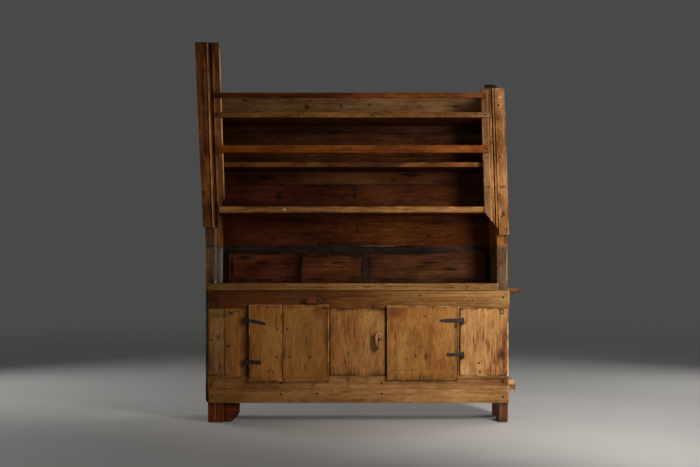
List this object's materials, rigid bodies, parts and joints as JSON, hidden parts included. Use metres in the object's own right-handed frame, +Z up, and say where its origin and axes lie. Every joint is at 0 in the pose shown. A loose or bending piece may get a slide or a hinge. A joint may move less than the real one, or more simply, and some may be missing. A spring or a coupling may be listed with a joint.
{
  "type": "welsh dresser",
  "caption": "Rustic plank dresser: cupboard base with strap-hinged doors and turn-buttons, worktop, panelled band and open plate rack between tall moulded stiles.",
  "frame": {"origin": "on the floor, under the middle of the whole piece's box", "axes": "+Z up, +Y to the back, +X to the right seen from the front"},
  "size_m": [1.8796, 0.4558, 2.189],
  "materials": {
    "base_wood": "aged honey-brown pine, waxed, worn",
    "foot_wood": "red-brown stained pine",
    "rear_wood": "dark red-brown stained pine",
    "band_frame_wood": "dark grey-brown pine",
    "band_panel_wood": "red-brown pine",
    "rack_wood": "orange-brown pine, worn",
    "door_wood": "honey pine, worn",
    "button_wood": "handled pine, polished by use",
    "forged_iron": "forged, blackened"
  },
  "bodies": {
    "carcass": {"base_side_left": "base_wood", "base_side_right": "base_wood", "front_top_rail": "base_wood", "front_bottom_rail_upper": "base_wood", "front_bottom_rail_lower": "base_wood", "front_stile_left_outer": "base_wood", "front_stile_left_inner": "base_wood", "front_stile_centre": "base_wood", "front_stile_right": "base_wood", "floor_board_front": "base_wood", "floor_board_back": "base_wood", "floor_bearer_front": "base_wood", "floor_bearer_back": "base_wood", "worktop_batten": "base_wood", "worktop_front_board": "base_wood", "worktop_back_board": "base_wood", "button_spacers": "base_wood", "left_foot_block": "foot_wood", "left_foot_bracket": "foot_wood", "base_back_board_1": "rear_wood", "base_back_board_2": "rear_wood", "base_back_board_3": "rear_wood", "base_back_board_4": "rear_wood", "rack_back_board_low": "rear_wood", "rack_back_board_middle": "rear_wood", "rack_back_board_top": "rear_wood", "band_rail": "band_frame_wood", "band_stile_left": "band_frame_wood", "band_muntin": "band_frame_wood", "band_stile_right": "band_frame_wood", "band_panel_left": "band_panel_wood", "band_panel_middle": "band_panel_wood", "band_panel_right": "band_panel_wood", "rack_side_left": "rack_wood", "rack_side_right": "rack_wood", "rack_stile_left": "rack_wood", "rack_stile_right": "rack_wood", "plate_rail_top": "rack_wood", "plate_rail_middle": "rack_wood", "top_shelf": "rack_wood", "top_shelf_nosing": "rack_wood", "middle_shelf": "rack_wood", "bottom_shelf": "rack_wood", "hinge_pintles": "forged_iron", "button_pivots": "forged_iron", "front_nails": "forged_iron", "rack_nails": "forged_iron"},
    "left_door": {"left_door_board_hinge": "door_wood", "left_door_board_free": "door_wood", "left_door_ledges": "door_wood", "left_strap_upper": "forged_iron", "left_strap_lower": "forged_iron", "left_door_nails": "forged_iron"},
    "right_door": {"right_door_board": "door_wood", "right_door_ledges": "door_wood", "right_strap_upper": "forged_iron", "right_strap_lower": "forged_iron", "right_door_nails": "forged_iron"},
    "left_button": {"left_turn_button": "button_wood"},
    "right_button": {"right_turn_button": "button_wood"}
  },
  "joints": [
    {"name": "left_door_hinge", "type": "hinge", "parent": "carcass", "child": "left_door", "pos_m": [-0.64817, -0.1936, 0.4735], "axis": [0, 0, -1], "range_deg": [0, 165]},
    {"name": "right_door_hinge", "type": "hinge", "parent": "carcass", "child": "right_door", "pos_m": [0.59748, -0.1936, 0.4925], "axis": [0, 0, 1], "range_deg": [0, 165]},
    {"name": "left_button_pivot", "type": "hinge", "parent": "carcass", "child": "left_button", "pos_m": [-0.22958, -0.2121, 0.705], "axis": [0, -1, 0], "range_deg": [0, 90]},
    {"name": "right_button_pivot", "type": "hinge", "parent": "carcass", "child": "right_button", "pos_m": [0.1176, -0.2121, 0.4834], "axis": [0, -1, 0], "range_deg": [0, 90]}
  ]
}
